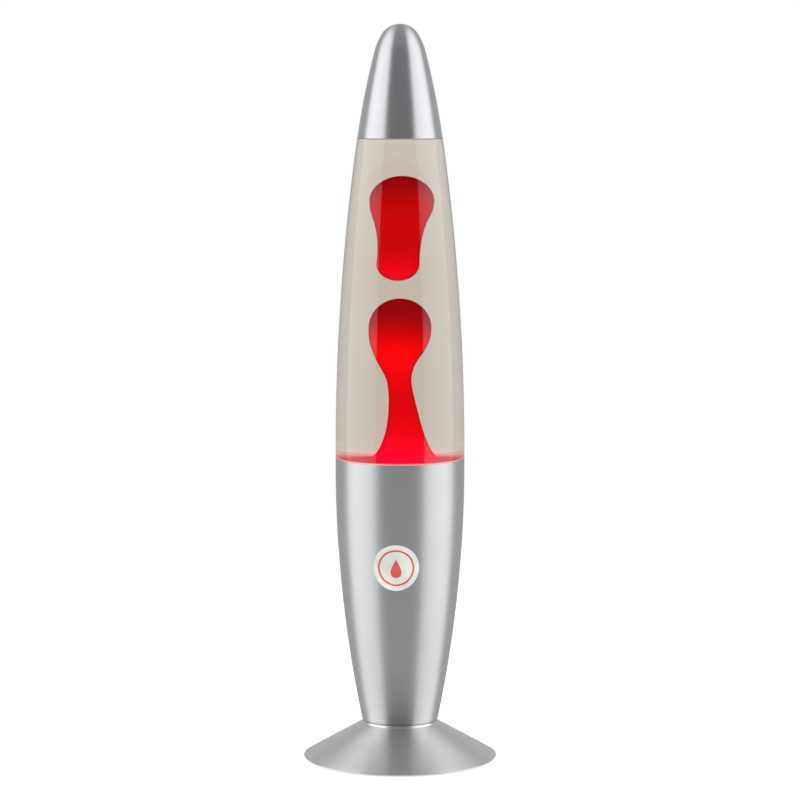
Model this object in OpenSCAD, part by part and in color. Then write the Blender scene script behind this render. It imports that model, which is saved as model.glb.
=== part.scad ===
// Rocket-shaped lava lamp: spun aluminium foot, base and cap, a liquid-filled
// glass globe standing in the base, and a small reflector bulb below it.
// Origin: centre of the face the lamp stands on. +Z up, cord inlet towards +Y.

/* [Overall] */
// Height of the whole lamp, table to tip of the cap
lamp_h = 410; // [408:1:414]
// Largest radius of the lamp's waist, shared by the base rim and the globe
waist_r = 36; // [36:0.1:37]

/* [Foot] */
// Radius of the foot's rim
foot_r = 54.1; // [53:0.1:56]
// Height of the foot's flat top, which the base stands on
foot_top_z = 21.5; // [21:0.1:22]
// Slope of the foot's cone above the horizontal
foot_slope = 29.9; // [29:0.1:30.5]
// Thickness of the foot's sheet
foot_t = 1; // [0.8:0.1:1.1]

/* [Base shell] */
// Height of the base's open rim
rim_z = 169.3; // [168:0.1:170]
// Radius of the long arc of the base's wall, seen from the side
base_arc_r = 700; // [690:5:720]
// Height of the widest point of that arc
base_arc_z = 165; // [163:1:167]
// Thickness of the base's sheet
base_t = 0.8; // [0.6:0.1:1]

/* [Globe] */
// Radius of the long arc of the globe's wall, seen from the side
globe_arc_r = 1256; // [1200:5:1300]
// Height of the widest point of that arc
globe_arc_z = 172; // [171:0.5:173]
// Thickness of the globe's glass
glass_t = 2; // [1.8:0.1:2.4]
// Height of the ledge that carries the cap
ledge_z = 347; // [346:0.5:348]
// Outer radius of the globe's neck
neck_r = 13; // [12.5:0.1:13.2]
// Height of the liquid's surface, under the cap
liquid_z = 353; // [350:1:355]

/* [Cap] */
// Radius of the round nose at the cap's tip
nose_r = 11.85; // [11.5:0.05:12]
// Thickness of the cap's sheet
cap_t = 0.9; // [0.7:0.1:0.9]

/* [Wax] */
// Height of the wax pool's surface in the globe
pool_z = 168.5; // [167:0.5:169]
// Radius of the standing column at its thinnest
column_r = 5; // [4.5:0.1:6]
// Radius of the column's round head
head_r = 13.1; // [12:0.1:13.5]
// Largest radius of the free blob
blob_r = 13.6; // [13:0.1:14]

/* [Electrics] */
// Crest radius of the bulb's screw cap
screw_r = 6.93; // [6.85:0.01:6.95]
// Pitch of the bulb's screw thread
screw_pitch = 2.82; // [2.8:0.01:2.84]
// Bore radius of the cord inlet
inlet_r = 3.2; // [2.8:0.1:3.4]

/* [Hidden] */
$fn = 96;

gap = 0.3;                       // space between parts that come apart
tube_r = 4.95;                   // M10 x 1 tube, outside
tube_bore_r = 4;
tube_hole_r = 5.1;               // hole that the tube passes through
tube_low_z = 11.5;
tube_top_z = 29.5;
washer_t = 1;
washer_r = 10;
nut_h = 3;
nut_af = 14;                     // nut, across flats
pad_h = 1.2;
pad_in_r = 38;
pad_out_r = 48;
plate_t = 1.8;
plate_r = 50.4;
foot_rim_z = 1;                  // the foam pad holds the rim this high
foot_edge_h = 0.5;               // upright edge of the rim
hem_w = 3.5;                     // the rim's sheet is folded back this far
foot_neck_r = 21.2;              // foot's radius at its flat top
shell_low_z = foot_top_z;
shell_corner_r = 1.5;
holder_z = foot_top_z + base_t + washer_t + nut_h + 0.05;
holder_r = 13;
holder_wall = 1.6;
skirt_low_z = 42;
skirt_top_z = 60;
core_floor_z = 32.5;
core_floor_t = 2.5;
core_top_z = 56;
bulb_tip_z = 36;
bulb_top_z = 102;
bulb_r = 19.5;
bulb_neck_z = 60;
bulb_wall = 0.7;
screw_bore_r = screw_r + 0.17;   // bore of the holder's thread shell
seat_top_z = 115.3;
seat_opening_r = 25;
globe_low_z = seat_top_z + gap;
globe_corner_r = 6;
globe_clear = 0.9;               // space between the globe and the base's wall
shoulder_z = 361;                // foot of the neck
neck_top_z = 371;
crown_top_z = 372.6;
gland_z = 8;
gland_r = 4;
gland_in_y = 30;
gland_out_y = 51.5;
block = [14, 14, 9];             // terminal block
block_x = 14;
lead_r = 1;
label_z = 112.4;
label_r = 12.8;
label_turn = -3.7;               // the label sits slightly left of centre
label_t = 0.15;
coil_ring_r = 24;
coil_r = 2.2;
skin = 0.1;                      // space between glass, liquid and wax

// ---- outline helpers ----
function arc(c, r, a0, a1, n) =
    [for (i = [0:n]) let (a = a0 + (a1 - a0) * i / n) [c.x + r * cos(a), c.y + r * sin(a)]];
function reverse(p) = [for (i = [len(p) - 1:-1:0]) p[i]];
function unit(v) = v / norm(v);
function left(v) = [-v.y, v.x];
// A path moved sideways by t to its left, with mitred corners, never past the axis
function inset(p, t) =
    [for (i = [0:len(p) - 1])
        let (last = len(p) - 1)
        let (before = unit(i > 0 ? p[i] - p[i - 1] : p[1] - p[0]))
        let (after = unit(i < last ? p[i + 1] - p[i] : p[last] - p[last - 1]))
        let (m = left(before) + left(after))
        let (q = p[i] + 2 * t * m / (m * m))
        [max(0, q.x), q.y]];

module spin(points) {
    rotate_extrude() polygon(points);
}
// A spun sheet whose outer face is the path and whose thickness is t
module sheet(path, t) {
    spin(concat(path, reverse(inset(path, t))));
}
module ring(r_in, r_out, z0, z1) {
    difference() {
        translate([0, 0, z0]) cylinder(r = r_out, h = z1 - z0);
        translate([0, 0, z0 - 1]) cylinder(r = r_in, h = z1 - z0 + 2);
    }
}
module hex_nut(z, bore) {
    difference() {
        translate([0, 0, z]) cylinder(d = nut_af / cos(30), h = nut_h, $fn = 6);
        translate([0, 0, z - 1]) cylinder(r = bore, h = nut_h + 2);
    }
}
// A round wire swept through a list of points. Its cross-section is kept square to
// the route with the help of a direction that the route never runs along.
wire_sides = 10;
function along(p, i) =
    let (last = len(p) - 1)
    unit(p[min(i + 1, last)] - p[max(i - 1, 0)]);
function wire_ring(p, i, r, ref) =
    let (u = unit(cross(along(p, i), ref)))
    let (v = cross(along(p, i), u))
    [for (k = [0:wire_sides - 1])
        let (turn = 360 * k / wire_sides)
        p[i] + r * (cos(turn) * u + sin(turn) * v)];
module wire(points, r, ref) {
    n = wire_sides;
    last = len(points) - 1;
    function at(i, k) = i * n + k % n;
    sides = [for (i = [0:last - 1], k = [0:n - 1])
        [at(i, k), at(i, k + 1), at(i + 1, k + 1), at(i + 1, k)]];
    ends = [[for (k = [n - 1:-1:0]) k], [for (k = [0:n - 1]) at(last, k)]];
    polyhedron([for (i = [0:last]) each wire_ring(points, i, r, ref)], concat(sides, ends));
}

// ---- outlines ----
function base_r(z) = waist_r - base_arc_r + sqrt(pow(base_arc_r, 2) - pow(z - base_arc_z, 2));
function globe_r(z) = waist_r - globe_arc_r + sqrt(pow(globe_arc_r, 2) - pow(z - globe_arc_z, 2));
function steps(a, b, n) = [for (i = [0:n]) a + (b - a) * i / n];

shell_bottom_r = base_r(shell_low_z + shell_corner_r) - shell_corner_r;
shell_path = concat([[tube_hole_r, shell_low_z]],
    arc([shell_bottom_r, shell_low_z + shell_corner_r], shell_corner_r, -90, -5, 6),
    [for (z = steps(shell_low_z + 3, rim_z, 28)) [base_r(z), z]]);

foot_edge_z = foot_rim_z + foot_edge_h;
function foot_z(r) = foot_edge_z + (foot_r - r) * tan(foot_slope);
fillet_r = 0.8;                  // between the cone and the neck
fillet_x = foot_neck_r + fillet_r + 0.1;
fillet_c = [fillet_x, foot_z(fillet_x) + fillet_r / cos(foot_slope)];
foot_path = concat([[foot_r, foot_rim_z], [foot_r, foot_edge_z]],
    arc(fillet_c, fillet_r, 270 - foot_slope, 185, 6),
    arc([foot_neck_r - 0.7, foot_top_z - 0.7], 0.7, 15, 90, 4),
    [[tube_hole_r, foot_top_z]]);

// The cap's wall is a nose, a short blend and a long flank, each tangent to the next
blend_r = 37;
flank_r = 450;
nose_end = 31;
blend_end = 14.3;
cap_edge_z = ledge_z + gap;
function toward(a) = [cos(a), sin(a)];
nose_c = [0, lamp_h - nose_r];
blend_c = nose_c - (blend_r - nose_r) * toward(nose_end);
flank_c = blend_c - (flank_r - blend_r) * toward(blend_end);
cap_path = concat(arc(flank_c, flank_r, asin((cap_edge_z - flank_c.y) / flank_r), blend_end, 14),
    arc(blend_c, blend_r, blend_end + 2, nose_end, 6),
    arc(nose_c, nose_r, nose_end + 5, 90, 11));

function pocket_r(z) = base_r(z) - base_t - globe_clear;
globe_foot_r = pocket_r(globe_low_z + globe_corner_r) - globe_corner_r;
ledge_r = globe_r(ledge_z);
ledge_w = 1.75;
// The globe's outline, with its step from the pocket out to the full width between two heights
function globe_outline(low, high) = concat([[0, globe_low_z]],
    arc([globe_foot_r, globe_low_z + globe_corner_r], globe_corner_r, -90, -4, 8),
    [for (z = steps(globe_low_z + globe_corner_r + 2, low, 8)) [pocket_r(z), z]],
    [for (z = steps(high, ledge_z, 26)) [globe_r(z), z]],
    [[ledge_r - ledge_w, ledge_z + 0.1], [ledge_r - ledge_w - 0.4, ledge_z + 3],
     [ledge_r - ledge_w - 4.4, ledge_z + 9.4]],
    arc([neck_r + 2, shoulder_z], 2, 230, 180, 4), [[neck_r, neck_top_z]]);
globe_outer = globe_outline(rim_z + 0.2, rim_z + 0.35);
globe_path = globe_outline(rim_z - 9, rim_z + 16);   // the glass is smoother inside

function swell(a, b, t) = a + (b - a) * (1 - cos(180 * t)) / 2;
column_foot_r = 18;              // column's radius where it leaves the pool
column_low_z = 213;              // height of its thinnest place
column_swell = 24;               // it swells into its head over this height
head_c_z = 244.6;
wax_low_z = globe_low_z + glass_t + skin;
wax_side = [for (p = inset(globe_path, glass_t + skin)) if (p.y < pool_z - 1.5) p];
column_rise = [for (t = steps(0, 1, 10))
    [column_foot_r - (column_foot_r - column_r) * sin(90 * t),
     pool_z + (column_low_z - pool_z) * pow(t, 1.6)]];
column_neck = [for (t = steps(1 / 6, 1, 5))
    [swell(column_r, head_r * 0.9, t), column_low_z + column_swell * t]];
column_path = concat(wax_side, [[pocket_r(pool_z) - glass_t - skin, pool_z]], column_rise,
    column_neck, arc([0, head_c_z], head_r, 0, 90, 10));

blob_low_z = 268.2;
blob_top_z = 325.8;
blob_drop_r = 8.9;               // radius of the blob's lower end
blob_swell_z = 288.2;            // it swells from this height up
blob_fall = 8;                   // how far it can sink
blob_climb = 20;                 // and rise
blob_side = [for (t = steps(1 / 8, 1, 7))
    [swell(blob_drop_r, blob_r, t), swell(blob_swell_z, blob_top_z - blob_r, t)]];
blob_path = concat(arc([0, blob_low_z + blob_drop_r], blob_drop_r, -90, 0, 10), blob_side,
    arc([0, blob_top_z - blob_r], blob_r, 10, 90, 10));

// ---- foot ----
module foam_pad() {
    color("dimgray") ring(pad_in_r, pad_out_r, 0, pad_h);
}
module base_plate() {
    color([0.1, 0.1, 0.1]) spin([[0, pad_h], [plate_r, pad_h], [plate_r, pad_h + 1],
        [plate_r - 1.2, pad_h + plate_t], [0, pad_h + plate_t]]);
}
module foot() {
    hem = [[foot_r - hem_w, foot_rim_z], [foot_r, foot_rim_z], [foot_r, foot_edge_z],
        [foot_r - hem_w, foot_z(foot_r - hem_w)]];
    color([0.78, 0.78, 0.79]) difference() {
        union() {
            sheet(foot_path, foot_t);
            spin(hem);
        }
        translate([0, gland_in_y, gland_z]) rotate([-90, 0, 0]) cylinder(r = gland_r + 0.1, h = foot_r);
    }
}
module lower_washer() {
    color("silver") ring(tube_hole_r, washer_r, foot_top_z - foot_t - washer_t, foot_top_z - foot_t);
}
module lower_tube_nut() {
    color("goldenrod") hex_nut(foot_top_z - foot_t - washer_t - nut_h, tube_r + 0.05);
}
module threaded_tube() {
    color("silver") ring(tube_bore_r, tube_r, tube_low_z, tube_top_z);
}
module cord_gland() {
    color([0.08, 0.08, 0.08]) difference() {
        translate([0, gland_in_y, gland_z]) rotate([-90, 0, 0]) {
            cylinder(r = gland_r, h = gland_out_y - gland_in_y);
            cylinder(r = gland_r + 0.4, h = 2);
        }
        translate([0, gland_in_y - 1, gland_z]) rotate([-90, 0, 0])
            cylinder(r = inlet_r, h = gland_out_y - gland_in_y + 2);
    }
}
block_low_z = pad_h + plate_t + 0.05;
screw_places = [for (x = [3.5, block.x - 3.5], y = [-3.5, 3.5]) [block_x + x, y]];
module terminal_block() {
    color("ivory") difference() {
        translate([block_x, -block.y / 2, block_low_z]) cube(block);
        for (p = screw_places) translate([p.x, p.y, block_low_z + block.z - 4])
            cylinder(r = 2, h = 5, $fn = 32);
    }
}
module terminal_block_screws() {
    color("silver") for (p = screw_places) difference() {
        translate([p.x, p.y, block_low_z + block.z - 3.95]) cylinder(r = 1.9, h = 3, $fn = 32);
        translate([p.x - 3, p.y - 0.3, block_low_z + block.z - 1.8]) cube([6, 0.6, 2]);
    }
}

// ---- base ----
module base_shell() {
    color([0.8, 0.8, 0.81]) sheet(shell_path, base_t);
}
module upper_washer() {
    color("silver") ring(tube_hole_r, washer_r, foot_top_z + base_t, foot_top_z + base_t + washer_t);
}
module upper_tube_nut() {
    color("goldenrod") hex_nut(foot_top_z + base_t + washer_t, tube_r + 0.05);
}
module seat_ring() {
    low_z = seat_top_z - 7;
    wall_in = base_t + 0.05;
    color("gainsboro") spin([[seat_opening_r, seat_top_z - 1], [31.6, seat_top_z - 1],
        [base_r(low_z) - wall_in - 1, low_z], [base_r(low_z) - wall_in, low_z],
        [base_r(seat_top_z) - wall_in - 0.3, seat_top_z], [seat_opening_r, seat_top_z]]);
}
// A point of the sticker: rho and a are polar places on the flat print, lift is off the wall
function label_point(rho, a, lift) =
    let (z = label_z + rho * sin(a), r = base_r(z) + lift)
    let (turn = label_turn - 90 + rho * cos(a) / base_r(label_z) * 180 / PI)
    [r * cos(turn), r * sin(turn), z];
module round_label() {
    n = 48;
    rings = 5;
    side = 1 + n * rings;
    function face(lift) = concat([label_point(0, 0, lift)],
        [for (j = [1:rings], i = [0:n - 1]) label_point(label_r * j / rings, 360 * i / n, lift)]);
    function at(j, i) = 1 + (j - 1) * n + i % n;
    fan = [for (i = [0:n - 1]) [0, at(1, i), at(1, i + 1)]];
    strips = [for (j = [1:rings - 1], i = [0:n - 1]) each
        [[at(j, i), at(j + 1, i), at(j + 1, i + 1)], [at(j, i), at(j + 1, i + 1), at(j, i + 1)]]];
    front = concat(fan, strips);
    back = [for (f = front) [f[0] + side, f[2] + side, f[1] + side]];
    edge = [for (i = [0:n - 1]) each [[at(rings, i), at(rings, i) + side, at(rings, i + 1) + side],
        [at(rings, i), at(rings, i + 1) + side, at(rings, i + 1)]]];
    color([0.9, 0.93, 0.9]) polyhedron(concat(face(0.02 + label_t), face(0.02)),
        [for (f = concat(front, back, edge)) [f[0], f[2], f[1]]]);
}

// ---- lampholder ----
module lampholder_dome() {
    color([0.12, 0.12, 0.12]) sheet([[tube_hole_r, holder_z], [holder_r - 3, holder_z],
        [holder_r - 0.8, holder_z + 2.4], [holder_r, holder_z + 6.4], [holder_r, skirt_low_z]],
        holder_wall);
}
module lampholder_skirt() {
    color([0.12, 0.12, 0.12]) ring(holder_r - holder_wall, holder_r, skirt_low_z + 0.05, skirt_top_z);
}
module lampholder_core() {
    color("ivory") difference() {
        union() {
            translate([0, 0, core_floor_z]) cylinder(r = 9.6, h = 6);
            translate([0, 0, core_floor_z + 6]) cylinder(r = 11.2, h = core_top_z - core_floor_z - 6);
        }
        translate([0, 0, core_floor_z + core_floor_t]) cylinder(r = screw_bore_r + 0.5, h = core_top_z);
    }
}
module lampholder_thread_shell() {
    color("goldenrod") {
        ring(screw_bore_r, screw_bore_r + 0.4, 39, core_top_z + 0.05);
        ring(screw_bore_r, screw_bore_r + 1.5, core_top_z + 0.05, core_top_z + 0.5);
    }
}
module lampholder_contact() {
    color("goldenrod") {
        translate([-6, -2, core_floor_z + core_floor_t + 0.05]) cube([12, 4, 0.35]);
        translate([0, 0, core_floor_z + core_floor_t + 0.35]) cylinder(r1 = 2, r2 = 1.2, h = 0.3, $fn = 32);
    }
}
terminal = [3, 5, 3.2];
terminal_x = 5.3;
terminal_z = 29.2;
module lampholder_terminals() {
    color("goldenrod") for (side = [0, 180]) rotate([0, 0, side])
        translate([terminal_x, -terminal.y / 2, terminal_z]) cube(terminal);
}
module lampholder_screws() {
    color("silver") for (side = [0, 180]) rotate([0, 0, side]) difference() {
        translate([terminal_x + terminal.x, 0, terminal_z + 1.6]) rotate([0, 90, 0])
            cylinder(r = 1.3, h = 1.1, $fn = 32);
        translate([terminal_x + terminal.x + 0.6, -2, terminal_z + 1.35]) cube([2, 4, 0.5]);
    }
}
lead_low_z = 7.5;                // the leads leave the terminal block at this height
lead_top_z = 31.2;               // and reach the lampholder's terminals at this one
lead_apart = 1.8;                // half the space between the leads in the tube
bend_low_r = 4;
bend_top_r = 1.8;
// The rise turns up into the tube, and over turns out to the terminal
module lead(side, shade) {
    rise = [for (a = [0:22.5:90])
        [bend_low_r * (1 - sin(a)), side * lead_apart, lead_low_z + bend_low_r * (1 - cos(a))]];
    over = [for (a = [0:30:90])
        [side * (3.4 - bend_top_r * cos(a)), side * 0.4 * cos(a), lead_top_z - bend_top_r * (1 - sin(a))]];
    color(shade) wire(concat([[block_x - 0.2, side * 3.5, lead_low_z], [9, side * 2.6, lead_low_z]],
        rise, [[0, side * lead_apart, 20], [side, side * 1.2, 26]], over,
        [[side * terminal_x, 0, lead_top_z]]), lead_r, [0, 1, 0]);
}
module live_lead() {
    lead(-1, "saddlebrown");
}
module neutral_lead() {
    lead(1, "royalblue");
}

// ---- globe ----
module globe_glass() {
    color([0.85, 0.85, 0.8, 0.35]) spin(concat(globe_outer, reverse(inset(globe_path, glass_t))));
}
module crown_cap() {
    color("gold") sheet([[16, neck_top_z - 4.5], [14.9, neck_top_z - 2.5], [14.2, neck_top_z + 0.4],
        [13, crown_top_z - 0.2], [11.5, crown_top_z], [0, crown_top_z]], 0.3);
}
module crown_liner() {
    color("white") translate([0, 0, neck_top_z + 0.05])
        cylinder(r = neck_r - 0.6, h = crown_top_z - neck_top_z - 0.5);
}
module liquid() {
    room = [for (p = inset(globe_path, glass_t + skin)) if (p.y < liquid_z - 0.5) p];
    top_r = ledge_r - ledge_w - glass_t - 3;
    way_r = blob_r + 0.5;
    blob_way = concat([[0, blob_low_z - blob_fall - 1]],
        arc([0, blob_low_z - blob_fall - 1 + way_r], way_r, -60, 0, 8),
        arc([0, blob_top_z + blob_climb - blob_r], way_r, 0, 90, 10));
    color([0.83, 0.81, 0.77, 0.4]) difference() {
        spin(concat(room, [[top_r, liquid_z], [0, liquid_z]]));
        spin(blob_way);
        wax_space();
    }
}
// The wax column and pool, a skin wider, cut out of the liquid
module wax_space() {
    spin([for (p = column_path)
        [p.x > 0.01 ? p.x + 2 * skin : 0, p.y + (p.y > pool_z - 1 ? skin : -skin)]]);
}
module wax_column() {
    color([0.9, 0, 0.05]) difference() {
        spin(column_path);
        coil(coil_r + 0.05);
    }
}
module coil(r) {
    rotate_extrude() translate([coil_ring_r, wax_low_z + coil_r + 1]) circle(r = r, $fn = 32);
}
module wire_coil() {
    color("silver") coil(coil_r);
}
module wax_blob() {
    color([0.85, 0, 0.05]) spin(blob_path);
}

// ---- cap ----
module top_cap() {
    color([0.78, 0.78, 0.8]) sheet(cap_path, cap_t);
}

// ---- bulb ----
module bulb_tip_contact() {
    color("silver") {
        translate([0, 0, bulb_tip_z + 0.4]) cylinder(r = 2.4, h = 0.5, $fn = 48);
        translate([0, 0, bulb_tip_z]) cylinder(r1 = 1.4, r2 = 2.4, h = 0.4, $fn = 48);
    }
}
module bulb_insulator() {
    color([0.1, 0.1, 0.12]) spin([[0, bulb_tip_z + 1], [2.5, bulb_tip_z + 1], [5, bulb_tip_z + 4.1],
        [0, bulb_tip_z + 4.1]]);
}
module bulb_screw_cap() {
    low_z = bulb_tip_z + 6;
    turns = 5;
    per_turn = 8;
    depth = 0.32;
    thread = [for (i = [0:turns * per_turn])
        [screw_r - depth - depth * cos(360 * i / per_turn), low_z + i * screw_pitch / per_turn]];
    color("silver") sheet(concat([[5.1, bulb_tip_z + 4.15], [6.1, bulb_tip_z + 4.9]], thread,
        [[6.7, 57.2], [8.5, 59.4], [8.5, 61.2]]), 0.3);
}
module bulb_glass() {
    flare = [for (t = steps(0, 1, 10)) [8 + (bulb_r - 8) * sin(90 * t), bulb_neck_z + 4 + 24 * t]];
    front_r = 24;
    color([0.9, 0.9, 0.9, 0.6]) sheet(concat([[8, bulb_neck_z]], flare,
        arc([bulb_r - 4, bulb_neck_z + 30], 4, 0, 42, 5),
        arc([0, bulb_top_z - front_r], front_r, 50, 90, 8)), bulb_wall);
}
stem_top_z = 80;
module bulb_stem() {
    color([0.8, 0.85, 0.85, 0.6]) spin([[0, bulb_neck_z + 1], [6, bulb_neck_z + 1], [5, 64], [2.4, 69],
        [2.2, stem_top_z], [0, stem_top_z]]);
}
filament_r = 7;
filament_z = 84;
module bulb_filament() {
    bow = [for (a = steps(200, 340, 14)) [filament_r * cos(a), filament_r * sin(a), filament_z]];
    color("dimgray") wire(bow, 0.3, [0, 0, 1]);
}
module bulb_lead_wires() {
    color("silver") for (side = [-1, 1]) {
        foot_x = side * 1.3;
        tip_x = side * (filament_r * cos(20) + 0.25);
        tip_y = -filament_r * sin(20) + 0.4;
        wire([[foot_x, 0, stem_top_z + 0.02], [foot_x, 0, stem_top_z + 1.4],
            [tip_x, tip_y, filament_z]], 0.35, [0, 1, 0]);
    }
}

foam_pad();
base_plate();
foot();
lower_washer();
lower_tube_nut();
threaded_tube();
base_shell();
upper_washer();
upper_tube_nut();
lampholder_dome();
lampholder_skirt();
lampholder_core();
lampholder_thread_shell();
lampholder_contact();
lampholder_terminals();
lampholder_screws();
live_lead();
neutral_lead();
terminal_block();
terminal_block_screws();
seat_ring();
cord_gland();
round_label();
globe_glass();
crown_cap();
crown_liner();
liquid();
wax_column();
wire_coil();
top_cap();
wax_blob();
bulb_tip_contact();
bulb_glass();
bulb_screw_cap();
bulb_insulator();
bulb_stem();
bulb_filament();
bulb_lead_wires();
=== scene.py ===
"""A rocket-shaped lava lamp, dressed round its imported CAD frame.

The lamp is a body of revolution, so most pieces are turned on a small lathe from outlines made of
arcs. Each sub-assembly is a class that holds its sizes in metres, builds its pieces and dresses
them; each finish is a frozen dataclass that makes one material.
"""

import logging
import math
from collections.abc import Sequence
from dataclasses import dataclass
from enum import Enum

import bmesh
import bpy
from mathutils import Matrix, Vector


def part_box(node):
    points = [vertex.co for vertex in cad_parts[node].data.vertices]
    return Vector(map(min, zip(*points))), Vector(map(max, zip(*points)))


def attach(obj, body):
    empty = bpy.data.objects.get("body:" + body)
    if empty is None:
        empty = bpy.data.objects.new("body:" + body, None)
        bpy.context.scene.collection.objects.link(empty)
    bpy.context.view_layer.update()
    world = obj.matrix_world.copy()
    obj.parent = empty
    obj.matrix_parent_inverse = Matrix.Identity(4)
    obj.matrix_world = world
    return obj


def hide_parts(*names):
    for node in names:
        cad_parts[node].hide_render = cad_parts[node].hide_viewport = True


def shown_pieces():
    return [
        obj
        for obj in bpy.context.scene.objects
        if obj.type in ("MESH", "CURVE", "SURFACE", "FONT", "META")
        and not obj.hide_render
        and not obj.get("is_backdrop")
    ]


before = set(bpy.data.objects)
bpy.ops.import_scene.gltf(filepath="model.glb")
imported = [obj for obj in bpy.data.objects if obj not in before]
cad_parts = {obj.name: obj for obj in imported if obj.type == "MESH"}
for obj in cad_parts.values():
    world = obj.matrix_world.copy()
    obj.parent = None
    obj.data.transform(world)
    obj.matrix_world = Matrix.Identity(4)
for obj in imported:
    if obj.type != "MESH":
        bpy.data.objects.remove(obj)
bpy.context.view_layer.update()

log = logging.getLogger("lava_lamp")

MM = 0.001
Point = tuple[float, float]
Colour = tuple[float, float, float]
# The range that holds most of a noise's values.
MID_NOISE = (0.3, 0.7)
# The most of a side that the rounding of a corner may take.
ROUNDED_SHARE = 0.45
# A radius below this is a point on the axis.
ON_AXIS = 1e-7
UNLIT = (0.0, 0.0, 0.0)
WHITE = (1.0, 1.0, 1.0)


class Body(Enum):
    """The rigid bodies of the frame that pieces ride on."""

    BASE = "base"
    GLOBE = "globe"
    CAP = "cap"
    FREE_WAX = "free_wax"
    BULB = "bulb"


class Grain(Enum):
    """How the marks of making lie on a surface."""

    TURNED = "turned"
    PLAIN = "plain"


# ---------------------------------------------------------------- outlines and meshes


def arc(centre: Point, radius: float, start: float, end: float, steps: int) -> list[Point]:
    """Points along an arc in the outline's plane.

    Args:
        centre: The arc's centre, as distance from the axis and height.
        radius: The arc's radius.
        start: The first angle in degrees, 0 pointing away from the axis.
        end: The last angle in degrees.
        steps: How many steps the arc is cut into.

    Returns:
        The arc's points, first and last included.
    """
    angles = (math.radians(start + (end - start) * i / steps) for i in range(steps + 1))
    return [(centre[0] + radius * math.cos(a), centre[1] + radius * math.sin(a)) for a in angles]


def spread(start: float, end: float, steps: int) -> list[float]:
    """Evenly spaced numbers from start to end, both included."""
    return [start + (end - start) * i / steps for i in range(steps + 1)]


def inset(path: Sequence[Point], thickness: float) -> list[Point]:
    """Moves an outline sideways to its left, as the inner face of a sheet.

    Args:
        path: The outer face, in the order that keeps the sheet on its left.
        thickness: The sheet's thickness.

    Returns:
        The inner face's points, in the same order, never past the axis.
    """
    moved = []
    last = len(path) - 1
    for i, point in enumerate(path):
        before = _direction(path[i - 1], point) if i else _direction(point, path[1])
        after = _direction(point, path[i + 1]) if i < last else before
        mitre = Vector((-before.y - after.y, before.x + after.x))
        shift = mitre * (2 * thickness / mitre.length_squared)
        moved.append((max(0.0, point[0] + shift.x), point[1] + shift.y))
    return moved


def _direction(start: Point, end: Point) -> Vector:
    """The unit vector from one outline point to another."""
    return (Vector(end) - Vector(start)).normalized()


def rounded(points: Sequence[Point], radius: float, steps: int = 4) -> list[Point]:
    """Rounds the inner corners of an open outline.

    Args:
        points: The outline.
        radius: The rounding's radius, cut down where a side is too short for it.
        steps: How many steps each rounded corner gets.

    Returns:
        The outline with each corner but its two ends rounded.
    """
    made = [points[0]]
    for before, corner, after in zip(points, points[1:], points[2:]):
        here = Vector(corner)
        back, ahead = Vector(before) - here, Vector(after) - here
        reach = min(radius, back.length * ROUNDED_SHARE, ahead.length * ROUNDED_SHARE)
        start, end = here + back.normalized() * reach, here + ahead.normalized() * reach
        for i in range(steps + 1):
            t = i / steps
            bend = start * (1 - t) ** 2 + here * 2 * t * (1 - t) + end * t**2
            made.append((bend.x, bend.y))
    made.append(points[-1])
    return made


def sheet(path: Sequence[Point], thickness: float, edge: float = 0.0) -> list[Point]:
    """The closed section of a sheet whose outer face is the path.

    Args:
        path: The outer face.
        thickness: The sheet's thickness.
        edge: The rounding of the sheet's two edges, or 0 for square ones.

    Returns:
        The section's points, once round.
    """
    inner = inset(path, thickness)
    section = list(path) + inner[::-1]
    if not edge:
        return section
    head = rounded([path[-2], path[-1], inner[-1], inner[-2]], edge)
    tail = rounded([inner[1], inner[0], path[0], path[1]], edge)
    return head + inner[-3:1:-1] + tail + list(path[2:-2])


def new_object(name: str, mesh: bpy.types.Mesh) -> bpy.types.Object:
    """Puts a mesh into the scene as a named piece."""
    piece = bpy.data.objects.new(name, mesh)
    bpy.context.scene.collection.objects.link(piece)
    return piece


def smooth(mesh: bpy.types.Mesh, crease: float = 40.0) -> None:
    """Shades a mesh smooth, but for edges past the crease angle."""
    mesh.shade_smooth()
    mesh.set_sharp_from_angle(angle=math.radians(crease))


def finish_mesh(bm: bmesh.types.BMesh, name: str, crease: float = 40.0) -> bpy.types.Object:
    """Turns built geometry into a smooth-shaded piece with true creases.

    Args:
        bm: The geometry.
        name: The piece's name.
        crease: The angle in degrees past which an edge stays sharp.

    Returns:
        The piece.
    """
    bmesh.ops.recalc_face_normals(bm, faces=bm.faces)
    mesh = bpy.data.meshes.new(name)
    bm.to_mesh(mesh)
    bm.free()
    smooth(mesh, crease)
    return new_object(name, mesh)


def stack_rings(bm: bmesh.types.BMesh, rings: Sequence[Sequence[Vector]], closed: bool = False) -> None:
    """Joins rings of points into a skin.

    Args:
        bm: The geometry that the skin is added to.
        rings: The rings in order, each a single point or as many points as the others.
        closed: Whether the last ring joins the first.
    """
    made = [[bm.verts.new(p) for p in ring] for ring in rings]
    pairs = list(zip(made, made[1:]))
    if closed:
        pairs.append((made[-1], made[0]))
    for low, high in pairs:
        count = max(len(low), len(high))
        if count == 1:
            continue
        for i in range(count):
            j = (i + 1) % count
            corners = [low[i % len(low)], low[j % len(low)], high[j % len(high)], high[i % len(high)]]
            unique = list(dict.fromkeys(corners))
            if len(unique) > 2:
                bm.faces.new(unique)


def ring_of(radius: float, height: float, sides: int, sway: float = 0.0) -> list[Vector]:
    """One level ring of points round the axis, or the single point on it."""
    if radius < ON_AXIS:
        return [Vector((sway, 0.0, height))]
    turns = (2 * math.pi * i / sides for i in range(sides))
    return [Vector((sway + radius * math.cos(t), radius * math.sin(t), height)) for t in turns]


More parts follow.
